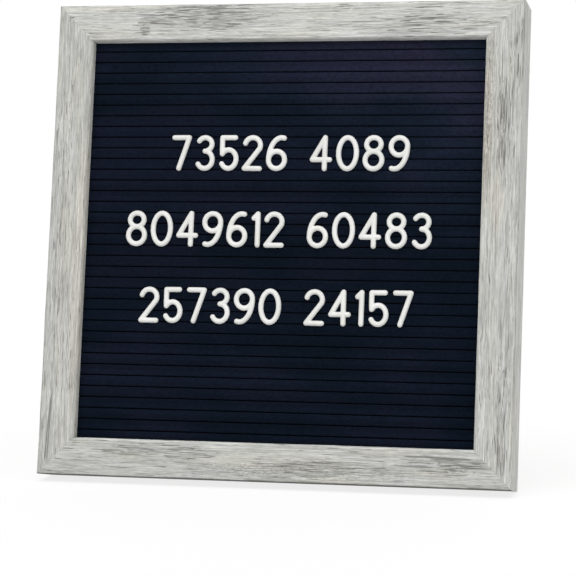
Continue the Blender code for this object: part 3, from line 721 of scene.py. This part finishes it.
# %% Uneven cloth
for step in range(1, CLOTH_SLICES):
    cut_at(bm, (-SHEET_HALF + step * 2 * SHEET_HALF / CLOTH_SLICES, 0, 0), (1, 0, 0))
bm.normal_update()
for vert in bm.verts:
    across, depth, height = vert.co
    at_side = max(abs(across), abs(height - MIDDLE)) > SHEET_HALF - 1e-5
    if depth < PANEL_FRONT + 0.002 and not at_side:
        lump = noise.noise(Vector((across * 110, depth * 200, height * 420)))
        vert.co -= vert.normal * CLOTH_PRESS * (0.6 + lump)
bmesh.ops.recalc_face_normals(bm, faces=bm.faces)
felt_panel = finished("felt_with_ribs", bm, "board", FELT, "felt_panel", 40.0)
print(felt_panel.name, len(felt_panel.data.polygons), "faces")

# %% [markdown]
# The numerals
#
# Each numeral is moulded in one shot of white plastic: a half-round stroke, flat behind, with
# round ends and a small fillet where strokes meet, and two thin prongs that grip the grooves.
# A curve with a bevel gives the stroke but not the joins. Balls and rods placed along each
# stroke's centreline, joined by a voxel remesh and smoothed, melt into one skin as the real ones
# do. Only ten shapes are made, and each numeral is a copy of one of them in its own place.

# %% Sizes
NUMERAL_HEIGHT = 0.0194
STROKE_WIDTH = 0.0028
STROKE_RISE = 0.0017
NUMERAL_WIDTHS = {
    "0": 0.0124, "1": 0.0050, "2": 0.0112, "3": 0.0112, "4": 0.0122,
    "5": 0.0112, "6": 0.0116, "7": 0.0110, "8": 0.0118, "9": 0.0116,
}
# How far the places that the strokes share lie from the middle, as parts of the half width.
STEM = 0.42
HOOK = 0.55
FOOT = 0.3
print(len(NUMERAL_WIDTHS), "shapes,", NUMERAL_HEIGHT / MM, "mm high")


# %% Centrelines
def arc(centre, radii, start, end, steps):
    """Points on an ellipse from one angle to another, in degrees."""
    points = []
    for step in range(steps + 1):
        angle = math.radians(start + (end - start) * step / steps)
        across = centre[0] + radii[0] * math.cos(angle)
        points.append((across, centre[1] + radii[1] * math.sin(angle)))
    return points


def centrelines(digit):
    """The strokes of one numeral about its middle, as rows of points (across, up)."""
    wide = (NUMERAL_WIDTHS[digit] - STROKE_WIDTH) / 2
    tall = (NUMERAL_HEIGHT - STROKE_WIDTH) / 2
    bowl = tall * 0.56
    head = tall - bowl
    low, high = (0, bowl - tall), (0, tall - head)
    stem = wide * STEM
    side = -wide * 0.84
    shelf = tall * 0.10
    radius = (tall + shelf + head * 0.25) / 2
    tail = arc((wide * HOOK, bowl - tall), (wide * 1.55, 2 * tall - bowl), 180, 78, 14)
    six = [arc(low, (wide, bowl), 0, 360, 30), tail]
    return {
        "0": [arc((0, 0), (wide, tall), 0, 360, 36)],
        "1": [[(wide, tall), (wide, -tall)], [(-wide, tall * 0.72), (wide, tall)]],
        "2": [arc((0, tall - wide), (wide, wide), 165, -24, 18) + [(-wide, -tall)],
              [(-wide, -tall), (wide, -tall)]],
        "3": [arc(low, (wide, bowl), 90, -150, 20),
              arc(high, (wide * 0.9, head), 150, -90, 18)],
        "4": [[(stem, tall), (stem, -tall)],
              [(stem, tall), (-wide, -tall * 0.42), (wide, -tall * 0.42)]],
        "5": [arc((0, radius - tall), (wide, radius), 146, -150, 24),
              [(wide * 0.85, tall), (side, tall), (side, shelf)]],
        "6": six,
        "7": [[(-wide, tall), (wide, tall), (-wide * FOOT, -tall)]],
        "8": [arc(low, (wide, bowl), 0, 360, 30),
              arc(high, (wide * 0.86, head), 0, 360, 30)],
        "9": [[(-across, -up) for across, up in stroke] for stroke in six],
    }[digit]


# %% One skin from balls and rods
VOXEL = 0.00021
SMOOTHINGS = 4
KEPT_FACES = 0.45


def add_rod(bm, first, last, radius):
    run = last - first
    turn = run.to_track_quat("Z", "Y").to_matrix().to_4x4()
    middle = Matrix.Translation((first + last) / 2) @ turn
    bmesh.ops.create_cone(bm, cap_ends=True, segments=20, radius1=radius, radius2=radius,
                          depth=run.length, matrix=middle)


def add_ball(bm, centre, radius):
    bmesh.ops.create_uvsphere(bm, u_segments=20, v_segments=12, radius=radius,
                              matrix=Matrix.Translation(centre))


def applied(bm, kind, **settings):
    """The bmesh after one modifier."""
    mesh = bpy.data.meshes.new("work")
    bm.to_mesh(mesh)
    bm.free()
    item = bpy.data.objects.new("work", mesh)
    scene.collection.objects.link(item)
    modifier = item.modifiers.new(kind.lower(), kind)
    for key, value in settings.items():
        setattr(modifier, key, value)
    bpy.context.view_layer.update()
    shaped = item.evaluated_get(bpy.context.evaluated_depsgraph_get())
    result = bpy.data.meshes.new_from_object(shaped)
    bpy.data.objects.remove(item)
    bm = bmesh.new()
    bm.from_mesh(result)
    return bm


def make_numeral(digit):
    bm = bmesh.new()
    half = STROKE_WIDTH / 2
    for stroke in centrelines(digit):
        points = [Vector((across, 0.0, up)) for across, up in stroke]
        for point in points:
            add_ball(bm, point, half)
        for first, last in zip(points, points[1:]):
            add_rod(bm, first, last, half)
    bm = applied(bm, "REMESH", mode="VOXEL", voxel_size=VOXEL)
    for _ in range(SMOOTHINGS):
        bmesh.ops.smooth_vert(bm, verts=bm.verts, factor=0.5,
                              use_axis_x=True, use_axis_y=True, use_axis_z=True)
    bmesh.ops.scale(bm, vec=(1.0, STROKE_RISE / half, 1.0), verts=bm.verts)
    cut = bmesh.ops.bisect_plane(bm, geom=everything(bm), plane_co=(0, 0, 0),
                                 plane_no=(0, 1, 0), clear_outer=True)
    rim = [item for item in cut["geom_cut"] if isinstance(item, bmesh.types.BMEdge)]
    bmesh.ops.triangle_fill(bm, edges=rim, use_beauty=True, use_dissolve=False)
    return applied(bm, "DECIMATE", ratio=KEPT_FACES)


# %% Prongs, and the ten shapes
PRONG_SIZE = (0.0018, 0.0032, 0.0005)
PRONG_MIDDLE = 0.0010
PRONG_EASE = 0.00012
TOP_PRONGS = {"1": 1.0, "4": STEM, "6": HOOK}
BOTTOM_PRONGS = {"1": 1.0, "4": STEM, "7": -FOOT, "9": -HOOK}


def add_prongs(bm, digit):
    """Two thin tongues, three grooves apart, that push into the slots."""
    wide = (NUMERAL_WIDTHS[digit] - STROKE_WIDTH) / 2
    for places, grooves in ((TOP_PRONGS, 1.5), (BOTTOM_PRONGS, -1.5)):
        across = wide * places.get(digit, 0.0)
        tongue = add_block(bm, (across, PRONG_MIDDLE, grooves * GROOVE_PITCH), PRONG_SIZE)
        edges = {edge for vert in tongue for edge in vert.link_edges}
        bevel(bm, list(edges), PRONG_EASE, 2)


NUMERAL_MESHES = {}
for digit in NUMERAL_WIDTHS:
    bm = make_numeral(digit)
    add_prongs(bm, digit)
    NUMERAL_MESHES[digit] = bpy.data.meshes.new(f"shape_{digit}")
    bm.to_mesh(NUMERAL_MESHES[digit])
    print("numeral", digit, len(bm.faces), "faces")
    bm.free()


# %% White plastic
def make_plastic():
    finish = Finish("white plastic")
    place = finish.on_board()
    cloud = finish.band(finish.noise(place, (0.012, 0.012, 0.012), 5.0, 2.0), 0.3, 0.7)
    skin = finish.noise(place, (0.0010, 0.0010, 0.0010), 6.0, 3.0)
    colour = finish.blend(cloud, (0.70, 0.70, 0.67, 1.0), (0.76, 0.76, 0.745, 1.0))
    finish.link(Base_Color=colour, Roughness=finish.band(skin, 0.3, 0.7, 0.34, 0.46))
    finish.fix(Specular_IOR_Level=0.45)
    finish.bump(skin, 0.00005, 0.5)
    return finish.material


PLASTIC = (make_plastic(), "white_plastic")
print("mixed:", PLASTIC[0].name)

# %% Set the rows
# Each row is (grooves above the middle, left group, right group).
ROWS = ((8, "73526", "4089"), (1, "8049612", "60483"), (-6, "257390", "24157"))
NUMERAL_GAP = 0.0019
NUMERAL_BACK = 0.0050
GROUP_SPACE = 0.0122
GROUP_SPACE_MIDDLE = 0.0084
MOST_TILT = 0.5


def group_width(digits):
    return sum(NUMERAL_WIDTHS[digit] + NUMERAL_GAP for digit in digits) - NUMERAL_GAP


random.seed(41)
worst = 0.0
for row, (grooves, left_group, right_group) in enumerate(ROWS, start=1):
    height = MIDDLE + grooves * GROOVE_PITCH
    left_start = GROUP_SPACE_MIDDLE - GROUP_SPACE / 2 - group_width(left_group)
    starts = (left_start, GROUP_SPACE_MIDDLE + GROUP_SPACE / 2)
    number = 0
    for group, across in zip((left_group, right_group), starts):
        for digit in group:
            number += 1
            node = f"numeral_row{row}_{number:02d}"
            turn = math.radians(random.uniform(-MOST_TILT, MOST_TILT))
            middle = (across + NUMERAL_WIDTHS[digit] / 2, NUMERAL_BACK, height)
            place = Matrix.Translation(middle) @ Matrix.Rotation(turn, 4, "Y")
            bm = bmesh.new()
            bm.from_mesh(NUMERAL_MESHES[digit])
            bmesh.ops.transform(bm, matrix=place, verts=bm.verts)
            piece = finished(f"moulded_{node}", bm, "board", PLASTIC, node, 50.0)
            low, high = (Vector(corner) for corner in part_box(node))
            xs = [vert.co.x for vert in piece.data.vertices]
            worst = max(worst, abs(min(xs) - low.x), abs(max(xs) - high.x))
            across += NUMERAL_WIDTHS[digit] + NUMERAL_GAP
print("numerals within", round(worst / MM, 2), "mm of their solids")

# %% [markdown]
# Steel fittings
#
# The hinge, its screws, the hanger and its nails, and the small points that hold the back
# in are plated sheet and wire. Their solids have the right shape, so the sheet parts are
# copies with a hair of a bevel, enough to catch the light. Screws and nails are turned
# shapes: a few vertices of profile, spun round their axis. The screws also get a cross
# recess, cut with a Boolean, because no bmesh operator cuts one solid from another.


# %% Plated steel
def make_steel():
    finish = Finish("zinc plated steel")
    place = finish.on_board()
    mottle = finish.noise(place, (0.003, 0.003, 0.003), 7.0, 4.0, 0.6)
    scratch = finish.noise(place, (0.010, 0.0003, 0.0004), 8.0, 2.0)
    share = finish.band(mottle, 0.35, 0.65)
    colour = finish.blend(share, (0.50, 0.51, 0.53, 1.0), (0.66, 0.66, 0.65, 1.0))
    finish.link(Base_Color=colour, Roughness=finish.band(mottle, 0.3, 0.7, 0.26, 0.44))
    finish.fix(Metallic=1.0)
    finish.bump(scratch, 0.00003, 0.6)
    return finish.material


STEEL = (make_steel(), "zinc_steel")
print("mixed:", STEEL[0].name)


# %% Eased copies of the sheet parts
def eased(node, name, body, look, width, segments=2):
    """A copy of a solid with its sharp edges broken."""
    bm = upright_copy(node, body)
    least = math.radians(38)
    sharp = [edge for edge in bm.edges if edge.is_manifold and edge.calc_face_angle(0.0) > least]
    bevel(bm, sharp, width, segments, clamp=True)
    return finished(name, bm, body, look, node)


for node in sorted(nodes):
    if node.startswith(("retainer_point", "v_nail")):
        eased(node, f"steel_{node}", "board", STEEL, 0.0001)
eased("sawtooth_hanger", "steel_hanger", "board", STEEL, 0.00015)
for body in ("board", "leg"):
    eased(f"hinge_leaf_{body}", f"steel_leaf_{body}", body, STEEL, 0.00012)
print("sheet parts eased")


# %% Turned parts
def turned(profile, place, axis, steps=32):
    """Spins a profile of (distance along the axis, radius) pairs into a closed solid."""
    bm = bmesh.new()
    along = Vector(axis)
    sideways = along.orthogonal().normalized()
    points = [bm.verts.new(place + along * distance + sideways * radius)
              for distance, radius in profile]
    edges = [bm.edges.new(pair) for pair in zip(points, points[1:])]
    bmesh.ops.spin(bm, geom=points + edges, cent=place, axis=along, angle=math.tau,
                   steps=steps, use_merge=True)
    bmesh.ops.remove_doubles(bm, verts=bm.verts, dist=1e-7)
    bmesh.ops.recalc_face_normals(bm, faces=bm.faces)
    return bm


def cut_out(bm, cutter):
    """The first shape less the second."""
    mesh = bpy.data.meshes.new("cutter")
    cutter.to_mesh(mesh)
    cutter.free()
    item = bpy.data.objects.new("cutter", mesh)
    scene.collection.objects.link(item)
    result = applied(bm, "BOOLEAN", operation="DIFFERENCE", object=item, solver="EXACT")
    bpy.data.objects.remove(item)
    return result


# %% Hinge screws
SCREW_HEAD = 0.0018
SCREW_SHANK = 0.0009
SCREW_LENGTH = 0.0035
SCREW_ACROSS = 0.006
SCREW_FROM_PIN = 0.0115
LEAF_SHEET = 0.0008
KNUCKLE = 0.0023
CROSS_LENGTH, CROSS_DEPTH, CROSS_WIDTH = 0.0022, 0.0010, 0.00042
CROSS_TAPER = 0.45
CROSS_VOXEL = 0.00007
SCREW_PROFILE = [
    (-SCREW_LENGTH, 0.0), (-SCREW_LENGTH + 0.0010, SCREW_SHANK * 0.9),
    (-LEAF_SHEET, SCREW_SHANK), (-0.00012, SCREW_HEAD - 0.00004),
    (-0.00003, SCREW_HEAD - 0.00008), (0.0, SCREW_HEAD - 0.0002), (0.0, 0.0),
]


def make_cross(place, outwards):
    """Two crossed blocks that narrow inwards, in one skin."""
    bm = bmesh.new()
    for across, up in ((CROSS_LENGTH, CROSS_WIDTH), (CROSS_WIDTH, CROSS_LENGTH)):
        arm = add_block(bm, place, (across, CROSS_DEPTH, up))
        inner = [vert for vert in arm if (vert.co - place).dot(outwards) < 0]
        bmesh.ops.scale(bm, vec=(CROSS_TAPER, 1.0, CROSS_TAPER),
                        space=Matrix.Translation(-place), verts=inner)
    return applied(bm, "REMESH", mode="VOXEL", voxel_size=CROSS_VOXEL)


def make_screw(body, side, place, outwards):
    bm = cut_out(turned(SCREW_PROFILE, place, outwards), make_cross(place, outwards))
    node = f"hinge_screw_{body}_{side}"
    return finished(f"steel_screw_{body}_{side}", bm, body, STEEL, node, 30.0)


for side, sign in (("left", -1), ("right", 1)):
    across = sign * SCREW_ACROSS
    face = PIN_PLACE + Vector((across, LEAF_SHEET - KNUCKLE, SCREW_FROM_PIN))
    make_screw("board", side, face, Vector((0, 1, 0)))
    face = Vector((across, -KNUCKLE, -SCREW_FROM_PIN))
    make_screw("leg", side, face, Vector((0, -1, 0)))
print("screws turned")

# %% Hinge pin
PIN_HALF = 0.0103
# One headed end, as (distance beyond the half length, radius), from its tip inwards.
PIN_END = [(0.0005, 0.0), (0.0005, 0.0011), (0.0003, 0.0016), (0.0, 0.0017), (0.0, 0.0010)]
profile = [(-PIN_HALF - beyond, radius) for beyond, radius in PIN_END]
profile += [(PIN_HALF + beyond, radius) for beyond, radius in reversed(PIN_END)]
bm = turned(profile, PIN_PLACE, (1, 0, 0))
finished("steel_pin", bm, "board", STEEL, "hinge_pin", 30.0)
print("pin turned")

# %% Hanger nails
NAIL_HEIGHT = FRAME_SIDE - 0.007
NAIL_ACROSS = 0.01775
NAIL_SEAT = 0.0261
NAIL_SHANK = 0.0006
NAIL_HEAD = 0.0015
NAIL_PROFILE = [
    (-0.0090, 0.0), (-0.0078, NAIL_SHANK), (0.0003, NAIL_SHANK), (0.0003, NAIL_HEAD - 0.0001),
    (0.0004, NAIL_HEAD), (0.0006, NAIL_HEAD), (0.0008, NAIL_HEAD * 0.8),
    (0.0009, NAIL_HEAD * 0.4), (0.0009, 0.0),
]
for side, sign in (("left", -1), ("right", 1)):
    place = Vector((sign * NAIL_ACROSS, NAIL_SEAT, NAIL_HEIGHT))
    bm = turned(NAIL_PROFILE, place, (0, 1, 0), 24)
    finished(f"steel_nail_{side}", bm, "board", STEEL, f"hanger_nail_{side}", 30.0)
print("nails turned")

# %% [markdown]
# Hardboard and card
#
# Behind everything are a hardboard back and a hardboard leg, and between back and felt a sheet
# of grey card. Hardboard is pressed wood fibre: brown, smooth on the show side, with darker
# and paler fibres in it, and its sawn edges are a little furry. The copies get a wider bevel
# than the steel, as sanded edges have, and the finish mixes two browns with fine short fibres.


# %% Hardboard and card finishes
def make_board_finish(name, base, pale, dark, seed):
    finish = Finish(name)
    place = finish.on_board()
    cloud = finish.noise(place, (0.030, 0.030, 0.030), seed, 3.0)
    fibre = finish.noise(place, (0.0022, 0.0009, 0.0007), seed + 1.0, 4.0, 0.65)
    cross_fibre = finish.noise(place, (0.0007, 0.0009, 0.0024), seed + 2.0, 4.0, 0.65)
    colour = finish.blend(finish.band(cloud, 0.3, 0.7, 0.0, 0.5), base, pale)
    colour = finish.blend(finish.band(fibre, 0.56, 0.72, 0.0, 0.6), colour, pale)
    colour = finish.blend(finish.band(cross_fibre, 0.56, 0.74, 0.0, 0.75), colour, dark)
    finish.link(Base_Color=colour, Roughness=finish.band(fibre, 0.3, 0.7, 0.55, 0.75))
    finish.fix(Specular_IOR_Level=0.3)
    finish.bump(finish.plus(fibre, cross_fibre), 0.00008, 0.7)
    return finish.material


hardboard = make_board_finish(
    "hardboard", base=(0.17, 0.095, 0.050, 1), pale=(0.26, 0.16, 0.09, 1),
    dark=(0.085, 0.045, 0.024, 1), seed=12.0)
card = make_board_finish(
    "grey card", base=(0.30, 0.28, 0.25, 1), pale=(0.38, 0.36, 0.33, 1),
    dark=(0.20, 0.18, 0.16, 1), seed=15.0)
HARDBOARD = (hardboard, "hardboard")
eased("back_board", "hardboard_back", "board", HARDBOARD, 0.0003)
eased("easel_leg", "hardboard_leg", "leg", HARDBOARD, 0.0004, 3)
nodes["filler_sheet"].data.materials.clear()
nodes["filler_sheet"].data.materials.append(card)
print("back, leg and card done")

# %% [markdown]
# The paper floor
#
# A white table top, far larger than the board, so that no edge of it shows in any view. It
# gives a little light of its own, as a table for product pictures does, which keeps the shadows
# on it pale. It has the faintest mottle, because even plain paper isn't one value all over.

# %% Floor
FLOOR_SIZE = 12.0
FLOOR_GLOW = 0.795
paper = Finish("white paper")
mottle = paper.noise(paper.place(), (0.4, 0.4, 0.4), 1.0, 2.0)
paper.link(Base_Color=paper.blend(mottle, tint(0.175), tint(0.19)))
paper.fix(Roughness=0.9, Specular_IOR_Level=0.1)
paper.fix(Emission_Color=WHITE, Emission_Strength=FLOOR_GLOW)
bm = bmesh.new()
bmesh.ops.create_grid(bm, x_segments=8, y_segments=8, size=FLOOR_SIZE)
mesh = bpy.data.meshes.new("paper_floor")
bm.to_mesh(mesh)
bm.free()
mesh.materials.append(paper.material)
floor = bpy.data.objects.new("paper_floor", mesh)
scene.collection.objects.link(floor)
floor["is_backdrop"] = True
print("floor laid")

# %% [markdown]
# Check the size
#
# The dressed board should stay the size of its solids, so its box is set beside
# theirs and the difference is printed, in millimetres.

# %% Size against the solids
dressed_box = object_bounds()
boxes = {"cad": [list(map(float, corner)) for corner in cad_box],
         "visual": [list(map(float, corner)) for corner in dressed_box]}
grown = [[round((b - a) / MM, 3) for a, b in zip(*pair)]
         for pair in zip(boxes["cad"], boxes["visual"])]
print("visual box less solid box, mm:", grown)
